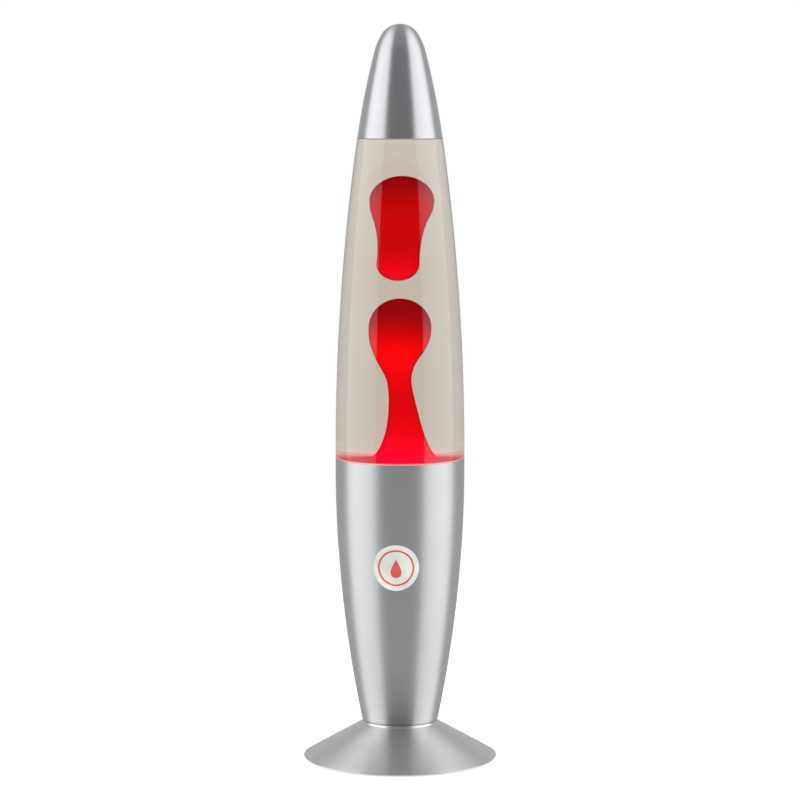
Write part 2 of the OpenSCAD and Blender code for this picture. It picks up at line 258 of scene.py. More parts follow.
def skin(name: str, rings: Sequence[Sequence[Vector]], closed: bool = False,
         crease: float = 40.0) -> bpy.types.Object:
    """Joins rings of points into a piece.

    Args:
        name: The piece's name.
        rings: The rings in order, each a single point or as many points as the others.
        closed: Whether the last ring joins the first.
        crease: The angle in degrees past which an edge stays sharp.

    Returns:
        The piece.
    """
    bm = bmesh.new()
    stack_rings(bm, rings, closed)
    return finish_mesh(bm, name, crease)


def lathe(name: str, section: Sequence[Point], sides: int = 128,
          crease: float = 40.0) -> bpy.types.Object:
    """Turns a closed section, given as distances from the axis and heights, into a piece."""
    on_axis = section[0][0] < ON_AXIS and section[-1][0] < ON_AXIS
    return skin(name, [ring_of(r, z, sides) for r, z in section], not on_axis, crease)


def bar(name: str, start: Vector, end: Vector, radius: float, sides: int) -> bpy.types.Object:
    """Makes a straight round bar between two points."""
    along = (end - start).normalized()
    across = along.orthogonal().normalized()
    other = along.cross(across)
    turns = [2 * math.pi * k / sides for k in range(sides)]
    bm = bmesh.new()
    stack_rings(bm, [[point + (across * math.cos(t) + other * math.sin(t)) * radius for t in turns]
                     for point in (start, end)])
    bm.verts.ensure_lookup_table()
    for first in (0, sides):
        bm.faces.new(bm.verts[first:first + sides])
    return finish_mesh(bm, name)


def settle(piece: bpy.types.Object) -> None:
    """Applies a piece's modifiers to its mesh."""
    graph = bpy.context.evaluated_depsgraph_get()
    mesh = bpy.data.meshes.new_from_object(piece.evaluated_get(graph))
    piece.modifiers.clear()
    piece.data = mesh
    smooth(mesh)


# ---------------------------------------------------------------- finishes


class Graph:
    """The node tree of a material or a world, with short ways to add nodes."""

    def __init__(self, tree: bpy.types.NodeTree) -> None:
        """Takes the tree in hand."""
        self.nodes, self.links = tree.nodes, tree.links

    def feed(self, value: object, socket: bpy.types.NodeSocket) -> None:
        """Links a socket to another, or sets it to a number or a colour."""
        if isinstance(value, bpy.types.NodeSocket):
            self.links.new(value, socket)
        elif socket.type == "RGBA":
            socket.default_value = (*value, 1.0)
        else:
            socket.default_value = value

    def add(self, kind: str, **settings: object) -> bpy.types.Node:
        """Adds a node and sets its properties."""
        node = self.nodes.new(kind)
        for key, value in settings.items():
            setattr(node, key, value)
        return node

    def math(self, operation: str, first: object, second: object = 0.0) -> bpy.types.NodeSocket:
        """Adds a sum or other simple operation on two numbers or sockets."""
        node = self.add("ShaderNodeMath", operation=operation)
        self.feed(first, node.inputs[0])
        self.feed(second, node.inputs[1])
        return node.outputs[0]

    def between(self, value: bpy.types.NodeSocket, low: float, high: float,
                to_low: float = 0.0, to_high: float = 1.0) -> bpy.types.NodeSocket:
        """Maps a number from one range to another, clamped."""
        node = self.add("ShaderNodeMapRange")
        for socket, number in zip(node.inputs, (value, low, high, to_low, to_high)):
            self.feed(number, socket)
        return node.outputs[0]

    def mix(self, factor: bpy.types.NodeSocket, low: object, high: object) -> bpy.types.NodeSocket:
        """Mixes two colours or colour sockets by a number."""
        node = self.add("ShaderNodeMix", data_type="RGBA")
        for name, value in (("Factor", factor), ("A", low), ("B", high)):
            self.feed(value, node.inputs[name])
        return node.outputs["Result"]

    def scaled(self, colour: object, factor: bpy.types.NodeSocket) -> bpy.types.NodeSocket:
        """Brightens or dims a colour by a number."""
        node = self.add("ShaderNodeVectorMath", operation="SCALE")
        self.feed(colour, node.inputs[0])
        self.feed(factor, node.inputs["Scale"])
        return node.outputs[0]

    def axes(self, space: str = "Object") -> list[bpy.types.NodeSocket]:
        """The x, y and z of the point, by default in the piece's own frame."""
        split = self.add("ShaderNodeSeparateXYZ")
        self.links.new(self.add("ShaderNodeTexCoord").outputs[space], split.inputs[0])
        return list(split.outputs)


class Shader(Graph):
    """One material with a Principled shader."""

    def __init__(self, name: str) -> None:
        """Makes the material and finds its shader and output."""
        self.material = bpy.data.materials.new(name)
        self.material.use_nodes = True
        super().__init__(self.material.node_tree)
        self.principled = self.nodes["Principled BSDF"]
        self.output = self.nodes["Material Output"]

    def put(self, **values: object) -> None:
        """Feeds the shader's sockets, named with underscores for spaces."""
        for key, value in values.items():
            self.feed(value, self.principled.inputs[key.replace("_", " ")])

    def reach(self) -> bpy.types.NodeSocket:
        """The point's distance from the lamp's axis."""
        x, y, _ = self.axes()
        return self.math("SQRT", self.math("ADD", self.math("MULTIPLY", x, x),
                                           self.math("MULTIPLY", y, y)))

    def ramp(self, factor: bpy.types.NodeSocket, stops: Sequence[tuple[float,
                                                                       Colour]]) -> bpy.types.NodeSocket:
        """Colours a number through a ramp.

        Args:
            factor: The number, from 0 to 1.
            stops: Each stop's place and colour, in order.

        Returns:
            The ramp's colour.
        """
        node = self.add("ShaderNodeValToRGB")
        node.color_ramp.interpolation = "B_SPLINE" if len(stops) > 3 else "EASE"
        elements = node.color_ramp.elements
        while len(elements) < len(stops):
            elements.new(0.5)
        for element, (place, colour) in zip(elements, stops):
            element.position = place
            element.color = (*colour, 1.0)
        self.links.new(factor, node.inputs[0])
        return node.outputs[0]

    def noise(self, scale: float, detail: float = 3.0,
              vector: bpy.types.NodeSocket | None = None) -> bpy.types.NodeSocket:
        """Adds a noise in the piece's own frame, or over a given vector."""
        node = self.add("ShaderNodeTexNoise")
        node.inputs["Scale"].default_value = scale
        node.inputs["Detail"].default_value = detail
        self.links.new(vector or self.add("ShaderNodeTexCoord").outputs["Object"], node.inputs["Vector"])
        return node.outputs["Fac"]

    def turning_marks(self, pitch: float) -> bpy.types.NodeSocket:
        """A number that changes only along a turned outline, as tool marks do."""
        marks = self.add("ShaderNodeCombineXYZ")
        for value, socket in zip((self.reach(), self.axes()[2]), marks.inputs):
            self.links.new(self.math("MULTIPLY", value, 1 / pitch), socket)
        return self.noise(1.0, 4.0, marks.outputs[0])

    def bump(self, height: bpy.types.NodeSocket, distance: float) -> None:
        """Raises the surface by a number times a distance."""
        node = self.add("ShaderNodeBump")
        for name, value in (("Strength", 1.0), ("Distance", distance), ("Height", height)):
            self.feed(value, node.inputs[name])
        self.put(Normal=node.outputs[0])


@dataclass(frozen=True)
class Metal:
    """A metal with fine marks of making.

    Attributes:
        name: The material's name.
        colour: The metal's own colour.
        roughness: The middle of the roughness, which the marks vary.
        grain: Whether the marks run round the axis or lie anywhere.
        pitch: The distance between marks.
        depth: How deep the marks are.
        brushed: How far the gloss is drawn out across the marks.
    """

    name: str
    colour: Colour
    roughness: float
    grain: Grain = Grain.PLAIN
    pitch: float = 0.3 * MM
    depth: float = 0.004 * MM
    brushed: float = 0.0

    def make(self) -> bpy.types.Material:
        """Makes the material."""
        shader = Shader(self.name)
        turned = self.grain is Grain.TURNED
        marks = shader.turning_marks(self.pitch) if turned else shader.noise(0.25 / self.pitch)
        smudges = shader.noise(45.0, 4.0)
        shade = shader.math("ADD", shader.between(marks, *MID_NOISE, 0.95, 1.03),
                            shader.between(smudges, *MID_NOISE, -0.02, 0.02))
        roughness = shader.math("ADD", shader.between(marks, *MID_NOISE, self.roughness - 0.03,
                                                      self.roughness + 0.03),
                                shader.between(smudges, 0.35, 0.75, -0.02, 0.03))
        shader.put(Metallic=1.0, Base_Color=shader.scaled(self.colour, shade), Roughness=roughness)
        shader.bump(marks, self.depth)
        if self.brushed:
            tangent = shader.add("ShaderNodeTangent", direction_type="RADIAL", axis="Z")
            shader.put(Anisotropic=self.brushed, Anisotropic_Rotation=0.25, Tangent=tangent.outputs[0])
        return shader.material


@dataclass(frozen=True)
class Plastic:
    """A moulded plastic, rubber, ceramic or film with a faint skin.

    Attributes:
        name: The material's name.
        colour: The middle of its colour.
        roughness: The middle of its roughness.
        cell: The size of its skin's grain.
        depth: How deep the grain is.
    """

    name: str
    colour: Colour
    roughness: float
    cell: float = 0.4 * MM
    depth: float = 0.01 * MM

    def make(self) -> bpy.types.Material:
        """Makes the material."""
        shader = Shader(self.name)
        grain = shader.noise(0.3 / self.cell)
        cloud = shader.noise(60.0)
        dark, light = (tuple(c * k for c in self.colour) for k in (0.88, 1.1))
        shader.put(Base_Color=shader.ramp(cloud, tuple(zip(MID_NOISE, (dark, light)))),
                   Roughness=shader.between(grain, *MID_NOISE, self.roughness - 0.06,
                                            self.roughness + 0.06))
        shader.bump(grain, self.depth)
        return shader.material


@dataclass(frozen=True)
class ClearGlass:
    """Smooth clear glass, with an optional painted glow at one edge.

    Attributes:
        name: The material's name.
        tint: The colour of light that has passed through it.
        index: Its index of refraction.
        sheen: How much of its reflections it keeps.
        painted_glow_height: The height of an edge where painted light stands in for the light from below,
            or None.
        painted_glow_colour: The painted glow of that edge.
    """

    name: str
    tint: Colour = (0.99, 0.985, 0.975)
    index: float = 1.5
    sheen: Colour = (0.7, 0.7, 0.75)
    painted_glow_height: float | None = None
    painted_glow_colour: Colour = (0.34, 0.14, 0.11)

    def make(self) -> bpy.types.Material:
        """Makes the material."""
        shader = Shader(self.name)
        shader.put(Base_Color=self.tint, Roughness=0.0, IOR=self.index, Transmission_Weight=1.0,
                   Specular_Tint=self.sheen)
        # Painted light: a narrow band of emission at that edge stands in for the bulb's light caught in the
        # glass.
        if self.painted_glow_height is not None:
            away = shader.math("ABSOLUTE", shader.math("SUBTRACT", shader.axes()[2], self.painted_glow_height))
            band = shader.between(away, 0.6 * MM, 0.2 * MM)
            shader.put(Emission_Color=shader.ramp(band, ((0.0, UNLIT), (1.0, self.painted_glow_colour))),
                       Emission_Strength=1.0)
        return shader.material


@dataclass(frozen=True)
class TintedLiquid:
    """A clear liquid that dims light a little more the deeper it is.

    Attributes:
        name: The material's name.
        index: Its index of refraction.
        colour: The colour that it lets through best.
        density: How strongly it dims the rest, per metre.
    """

    name: str
    index: float
    colour: Colour
    density: float

    def make(self) -> bpy.types.Material:
        """Makes the material."""
        shader = Shader(self.name)
        shader.put(Base_Color=WHITE, Roughness=0.0, IOR=self.index, Transmission_Weight=1.0)
        dimming = shader.add("ShaderNodeVolumeAbsorption")
        shader.feed(self.colour, dimming.inputs["Color"])
        shader.feed(self.density, dimming.inputs["Density"])
        shader.links.new(dimming.outputs[0], shader.output.inputs["Volume"])
        return shader.material


@dataclass(frozen=True)
class GlowingWax:
    """Melted wax with painted light: an emission graded by height stands in for the bulb's light from
    below.

    Attributes:
        name: The material's name.
        low: The height where the ramp starts.
        high: The height where the ramp ends.
        stops: The painted glow's colours from low to high, each with its share of the way up.
        glow: The strength of the painted glow.
        painted_limb_shade: The share of the glow left where the surface turns away, a painted shade.
        pool_reach: The distance from the axis past which painted light on a pool's pale surface shows, or
            None.
        pool_blend: How much farther out it shows in full.
        pool_painted_glow: The painted light on that surface.
    """

    name: str
    low: float
    high: float
    stops: tuple[tuple[float, Colour], ...]
    glow: float = 1.4
    painted_limb_shade: float = 0.45
    pool_reach: float | None = None
    pool_blend: float = 9 * MM
    pool_painted_glow: Colour = (0.68, 0.33, 0.23)

    def make(self) -> bpy.types.Material:
        """Makes the material."""
        shader = Shader(self.name)
        z = shader.axes()[2]
        # Painted light: the emission rises and falls by height to stand in for the bulb's light from below.
        drift = shader.between(shader.noise(70.0, 2.0), *MID_NOISE, -1.2 * MM, 1.2 * MM)
        climb = shader.between(shader.math("ADD", z, drift), self.low, self.high)
        colour = shader.ramp(climb, self.stops)
        # Painted light on the pool's pale top surface, away from the column.
        if self.pool_reach is not None:
            out = shader.between(shader.reach(), self.pool_reach, self.pool_reach + self.pool_blend)
            flat = shader.between(z, self.low + 2.2 * MM, self.low + 0.4 * MM)
            top = shader.between(z, self.low - 1.2 * MM, self.low - 0.4 * MM)
            share = shader.math("MULTIPLY", out, shader.math("MULTIPLY", flat, top))
            colour = shader.mix(share, colour, self.pool_painted_glow)
        # Painted shade: the glow dims where the surface turns away from the view.
        facing = shader.add("ShaderNodeLayerWeight").outputs["Facing"]
        painted_limb_shade = shader.between(shader.math("POWER", facing, 2.5), 0.0, 1.0, 1.0, self.painted_limb_shade)
        shader.put(Base_Color=(0.12, 0.0, 0.002), Roughness=0.5, Specular_IOR_Level=0.0,
                   Emission_Color=shader.scaled(colour, painted_limb_shade), Emission_Strength=self.glow)
        return shader.material


@dataclass(frozen=True)
class LitGlass:
    """The frosted, lit face of the reflector bulb, silvered below its edge.

    Attributes:
        name: The material's name.
        edge: The height above which the glass is frosted and lit.
        glow: The strength of its light.
    """

    name: str
    edge: float
    glow: float

    def make(self) -> bpy.types.Material:
        """Makes the material."""
        shader = Shader(self.name)
        face = shader.between(shader.axes()[2], self.edge - 0.3 * MM, self.edge + 0.3 * MM)
        shader.put(Base_Color=shader.ramp(face, ((0.0, (0.82, 0.82, 0.8)), (1.0, (0.93, 0.9, 0.84)))),
                   Metallic=shader.between(face, 0.0, 1.0, 1.0, 0.0),
                   Roughness=shader.between(face, 0.0, 1.0, 0.12, 0.5),
                   Emission_Color=shader.ramp(face, ((0.0, UNLIT), (1.0, (1.0, 0.72, 0.42)))),
                   Emission_Strength=self.glow)
        shader.bump(shader.noise(400.0), 0.01 * MM)
        return shader.material


class Finishes:
    """Every finish of the lamp, made once."""

    def __init__(self) -> None:
        """Makes the materials that don't depend on a piece's sizes."""
        aluminium = (0.56, 0.565, 0.57)
        self.spun = Metal("spun_aluminium", aluminium, 0.5, Grain.TURNED, 0.22 * MM, 0.002 * MM,
                          0.9).make()
        # Painted light and shade: the foot gets a lighter copy and the cap a darker copy of the same spun
        # aluminium, to stand in for how brightly each is lit.
        self.spun_foot_painted_light = Metal("spun_aluminium_foot", (0.63, 0.635, 0.64), 0.37, Grain.TURNED, 0.25 * MM,
                               0.002 * MM, 0.9).make()
        self.spun_cap_painted_shade = Metal("spun_aluminium_cap", (0.5, 0.502, 0.518), 0.37, Grain.TURNED, 0.22 * MM,
                              0.002 * MM, 0.87).make()
        self.zinc = Metal("zinc_plate", (0.62, 0.64, 0.66), 0.3).make()
        self.pressed = Metal("pressed_steel", (0.5, 0.5, 0.5), 0.4).make()
        self.brass = Metal("brass", (0.78, 0.58, 0.28), 0.28).make()
        self.nickel = Metal("nickel_plate", (0.72, 0.7, 0.64), 0.2, Grain.TURNED, 0.3 * MM).make()
        self.solder = Metal("solder", (0.6, 0.6, 0.6), 0.35).make()
        self.tungsten = Metal("tungsten", (0.3, 0.3, 0.3), 0.4).make()
        self.crown = Metal("crown_lacquer", (0.72, 0.58, 0.3), 0.25).make()
        self.black = Plastic("black_plastic", (0.022, 0.022, 0.024), 0.42).make()
        self.ivory = Plastic("ivory_plastic", (0.72, 0.68, 0.56), 0.4).make()
        self.foam = Plastic("foam", (0.03, 0.03, 0.033), 0.85, 0.5 * MM, 0.15 * MM).make()
        self.brown = Plastic("brown_sheath", (0.12, 0.04, 0.015), 0.45).make()
        self.blue = Plastic("blue_sheath", (0.02, 0.09, 0.38), 0.45).make()
        self.liner = Plastic("liner", (0.75, 0.75, 0.74), 0.5).make()
        self.vitrite = Plastic("bulb_insulator", (0.02, 0.015, 0.04), 0.15).make()
        self.film = Plastic("label_film", (0.72, 0.76, 0.7), 0.4, 0.3 * MM, 0.002 * MM).make()
        self.red_ink = Plastic("red_ink", (0.72, 0.09, 0.06), 0.4, 0.3 * MM, 0.002 * MM).make()
        self.bulb_clear = ClearGlass("bulb_stem_glass", (0.9, 0.92, 0.92)).make()
        self.liquid = TintedLiquid("liquid", 1.33, (0.6, 0.52, 0.42), 6.0).make()


def dress(piece: bpy.types.Object, material: bpy.types.Material, slot: str, body: Body,
          *nodes: str) -> bpy.types.Object:
    """Gives a piece its finish and its body.

    Args:
        piece: The piece.
        material: Its finish.
        slot: The record's material slot; not used.
        body: The body that it rides on.
        nodes: The CAD nodes that it stands for.

    Returns:
        The piece.
    """
    piece.data.materials.clear()
    piece.data.materials.append(material)
    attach(piece, body.value)
    if nodes:
        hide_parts(*nodes)
    return piece


def dress_node(node: str, material: bpy.types.Material) -> None:
    """Gives a CAD node that stays a better finish."""
    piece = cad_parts[node]
    piece.data.materials.clear()
    piece.data.materials.append(material)


# ---------------------------------------------------------------- the lamp


@dataclass
class Waist:
    """The long arcs that the base and the globe share.

    Attributes:
        radius: The widest radius.
        base_arc: Radius of the base wall's arc.
        base_height: Height of that arc's widest point.
        globe_arc: Radius of the globe wall's arc.
        globe_height: Height of that arc's widest point.
    """

    radius: float = 36 * MM
    base_arc: float = 700 * MM
    base_height: float = 165 * MM
    globe_arc: float = 1256 * MM
    globe_height: float = 172 * MM

    def base(self, z: float) -> float:
        """Outer radius of the base's wall at a height."""
        return self.radius - self.base_arc + math.sqrt(self.base_arc**2 - (z - self.base_height) ** 2)

    def globe(self, z: float) -> float:
        """Outer radius of the globe's wall at a height."""
        return self.radius - self.globe_arc + math.sqrt(self.globe_arc**2 - (z - self.globe_height) ** 2)


@dataclass
class Foot:
    """The spun foot with the plate, pad and cord inlet that it holds."""

    finishes: Finishes
    rim_radius: float = 54.1 * MM
    rim_height: float = 1.0 * MM
    edge: float = 0.5 * MM
    slope: float = 29.9
    neck_radius: float = 21.2 * MM
    top: float = 21.5 * MM
    thickness: float = 1.0 * MM
    tube_hole: float = 5.1 * MM
    hem_width: float = 3.5 * MM

    def cone(self, radius: float) -> float:
        """Height of the cone's outer face at a distance from the axis."""
        return self.rim_height + self.edge + (self.rim_radius - radius) * math.tan(math.radians(self.slope))

    def outline(self) -> list[Point]:
        """The outer face, from the rim up and in to the hole for the tube."""
        fillet = 0.8 * MM
        fillet_x = self.neck_radius + fillet + 0.1 * MM
        centre = (fillet_x, self.cone(fillet_x) + fillet / math.cos(math.radians(self.slope)))
        corner = 0.7 * MM
        face = [(r, self.cone(r)) for r in spread(self.rim_radius - 0.6 * MM, centre[0] + fillet, 24)]
        path = [(self.rim_radius - 0.35 * MM, self.rim_height),
                (self.rim_radius, self.rim_height + 0.25 * MM)]
        path += [(self.rim_radius, self.rim_height + self.edge - 0.05 * MM)] + face
        path += arc(centre, fillet, 270 - self.slope, 185, 8)
        path += arc((self.neck_radius - corner, self.top - corner), corner, 15, 90, 6)
        return path + [(self.tube_hole, self.top)]

    def build(self) -> None:
        """Builds and dresses the foot's pieces."""
        shell = lathe("foot_shell", self.hemmed(), 256)
        cutter = self.inlet_cutter()
        cut = shell.modifiers.new("inlet", "BOOLEAN")
        cut.operation, cut.object, cut.solver = "DIFFERENCE", cutter, "EXACT"
        settle(shell)
        bpy.data.objects.remove(cutter)
        dress(shell, self.finishes.spun_foot_painted_light, "spun_aluminium", Body.BASE, "foot")
        self.plate()
        self.pad()
        self.gland()

    def hemmed(self) -> list[Point]:
        """The foot's section, with the rim's sheet folded back inside."""
        path = self.outline()
        inner = inset(path, self.thickness)
        hem = self.rim_radius - self.hem_width
        kept = [p for p in inner if p[0] < hem - 0.2 * MM]
        return path + kept[::-1] + [(hem, self.cone(hem) - 1.3 * MM), (hem, self.rim_height + 0.3 * MM),
                                    (hem + 0.3 * MM, self.rim_height)]

    def inlet_cutter(self) -> bpy.types.Object:
        """A round bar through the back of the foot, where the cord's bush sits."""
        low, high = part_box("cord_gland")
        middle, hole = (low.z + high.z) / 2, 4.1 * MM
        start, end = (Vector((0.0, y, middle)) for y in (low.y - 2 * MM, high.y + 4 * MM))
        return bar("inlet_cutter", start, end, hole, 48)

    def plate(self) -> None:
        """The moulded plate that closes the foot from below."""
        low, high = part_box("base_plate")
        step = 1.0 * MM
        section = rounded([(0.0, low.z), (high.x - 0.2 * MM, low.z), (high.x, low.z + step),
                           (high.x - 1.2 * MM, high.z), (0.0, high.z)], 0.3 * MM)
        dress(lathe("base_plate_moulding", section, 192), self.finishes.black, "black_plastic", Body.BASE,
              "base_plate")

    def pad(self) -> None:
        """The soft ring that the lamp stands on."""
        low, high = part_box("foam_pad")
        inner = high.x - 10 * MM
        soft = 0.35 * MM
        section = rounded([((inner + high.x) / 2, low.z), (high.x, low.z), (high.x, high.z),
                           (inner, high.z),
                           (inner, low.z), ((inner + high.x) / 2, low.z)], soft)[:-1]
        pad = lathe("foam_ring", section, 192)
        dress(pad, self.finishes.foam, "foam", Body.BASE, "foam_pad")

    def gland(self) -> None:
        """The bush that the cord comes in through, with a rolled lip at its mouth."""
        low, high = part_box("cord_gland")
        outer, bore, lip = 4.0 * MM, 3.2 * MM, 0.35 * MM
        length = high.y - low.y
        section = [(bore, 0.0), (outer + 0.4 * MM, 0.0), (outer + 0.4 * MM, 2 * MM), (outer, 2 * MM)]
        section += [(outer, length - 1.2 * MM)]
        section += arc((outer - lip, length - lip), lip, 0, 90, 5)
        section += arc((bore + lip, length - lip), lip, 90, 180, 5)
        bush = lathe("cord_bush", section, 64)
        for vertex in bush.data.vertices:
            x, y, z = vertex.co
            vertex.co = (x, z + low.y, (low.z + high.z) / 2 - y)
        dress(bush, self.finishes.black, "black_plastic", Body.BASE, "cord_gland")


@dataclass
class BaseShell:
    """The tall spun base and the ring inside it that carries the globe."""

    finishes: Finishes
    waist: Waist
    bottom: float = 21.5 * MM
    rim: float = 169.3 * MM
    thickness: float = 0.8 * MM
    corner: float = 1.5 * MM
    tube_hole: float = 5.1 * MM

    def outline(self) -> list[Point]:
        """The outer face, from the hole for the tube out and up to the rim."""
        flat = self.waist.base(self.bottom + self.corner) - self.corner
        path = [(self.tube_hole, self.bottom)]
        path += arc((flat, self.bottom + self.corner), self.corner, -90, -8, 10)
        return path + [(self.waist.base(z), z) for z in spread(self.bottom + self.corner + 1 * MM,
                                                               self.rim, 60)]

    def build(self) -> None:
        """Builds and dresses the shell and the ring."""
        shell = lathe("base_shell_spun", sheet(self.outline(), self.thickness, 0.3 * MM), 256)
        dress(shell, self.finishes.spun, "spun_aluminium", Body.BASE, "base_shell")
        low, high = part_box("seat_ring")
        opening, flange = 25 * MM, 1.0 * MM
        foot_of_wall = self.waist.base(low.z) - self.thickness - 0.05 * MM
        section = rounded([(opening + 3 * MM, high.z), (opening, high.z), (opening, high.z - flange),
                           (31.6 * MM, high.z - flange), (foot_of_wall - flange, low.z),
                           (foot_of_wall, low.z),
                           (high.x, high.z), (opening + 3 * MM, high.z)], 0.4 * MM)[:-1]
        dress(lathe("seat_ring_pressed", section, 192), self.finishes.pressed, "pressed_steel", Body.BASE,
              "seat_ring")


@dataclass
class Label:
    """The round sticker on the base, with a plain drop in a ring."""

    finishes: Finishes
    waist: Waist
    height: float = 112.4 * MM
    radius: float = 12.8 * MM
    turn: float = -93.7
    film: float = 0.17 * MM
    print_height: float = 0.03 * MM
    ring_radius: float = 9.6 * MM
    ring_width: float = 1.0 * MM

    def wrap(self, across: float, up: float, lift: float) -> Vector:
        """Places a point of the flat print on the base's wall.

        Args:
            across: Distance to the right of the sticker's centre.
            up: Distance above it.
            lift: Distance off the wall.

        Returns:
            The point in the lamp's frame.
        """
        z = self.height + up
        reach = self.waist.base(z) + lift
        angle = math.radians(self.turn) + across / self.waist.base(self.height)
        return Vector((reach * math.cos(angle), reach * math.sin(angle), z))

    def patch(self, name: str, loops: Sequence[Sequence[Point]], low: float,
              high: float) -> bpy.types.Object:
        """Builds a thin wrapped patch from nested loops.

        Args:
            name: The piece's name.
            loops: Flat loops of equally many points, from the innermost out.
            low: The back's distance off the wall.
            high: The front's distance off the wall.

        Returns:
            The piece.
        """
        front = [[self.wrap(x, y, high) for x, y in loop] for loop in loops]
        back = [[self.wrap(x, y, low) for x, y in loop] for loop in reversed(loops)]
        return skin(name, front + back, len(loops[0]) > 1, 50.0)

    def circle(self, radius: float, sides: int = 96) -> list[Point]:
        """A flat circle about the sticker's centre."""
        turns = (2 * math.pi * i / sides for i in range(sides))
        return [(radius * math.cos(t), radius * math.sin(t)) for t in turns]

    def drop(self, size: float, sides: int = 96) -> list[Point]:
        """A flat drop, round below and pointed above, with its centre at the sticker's."""
        loop = []
        for i in range(sides):
            t = 2 * math.pi * i / sides
            narrowing = math.sin(t / 2) ** 1.6
            loop.append((size * 0.95 * math.sin(t) * narrowing, size * (math.cos(t) * 1.15 - 0.05)))
        return loop

    def scaled(self, loop: Sequence[Point], share: float) -> list[Point]:
        """A loop drawn in towards the sticker's centre."""
        return [(x * share, y * share) for x, y in loop]

    def build(self) -> None:
        """Builds and dresses the film and its print."""
        discs = [[(0.0, 0.0)]] + [self.circle(self.radius * k) for k in spread(0.2, 1.0, 6)]
        film = self.patch("label_disc", discs, 0.02 * MM, self.film)
        dress(film, self.finishes.film, "label_film", Body.BASE, "round_label")
        top = self.film + self.print_height
        half = self.ring_width / 2
        rings = [self.circle(self.ring_radius + k) for k in (-half, 0.0, half)]
        drops = [[(0.0, 0.0)]] + [self.scaled(self.drop(4.6 * MM), k) for k in spread(0.25, 1.0, 4)]
        for name, loops in (("label_ring", rings), ("label_drop", drops)):
            dress(self.patch(name, loops, self.film - 0.01 * MM, top), self.finishes.red_ink,
                  "label_film", Body.BASE)


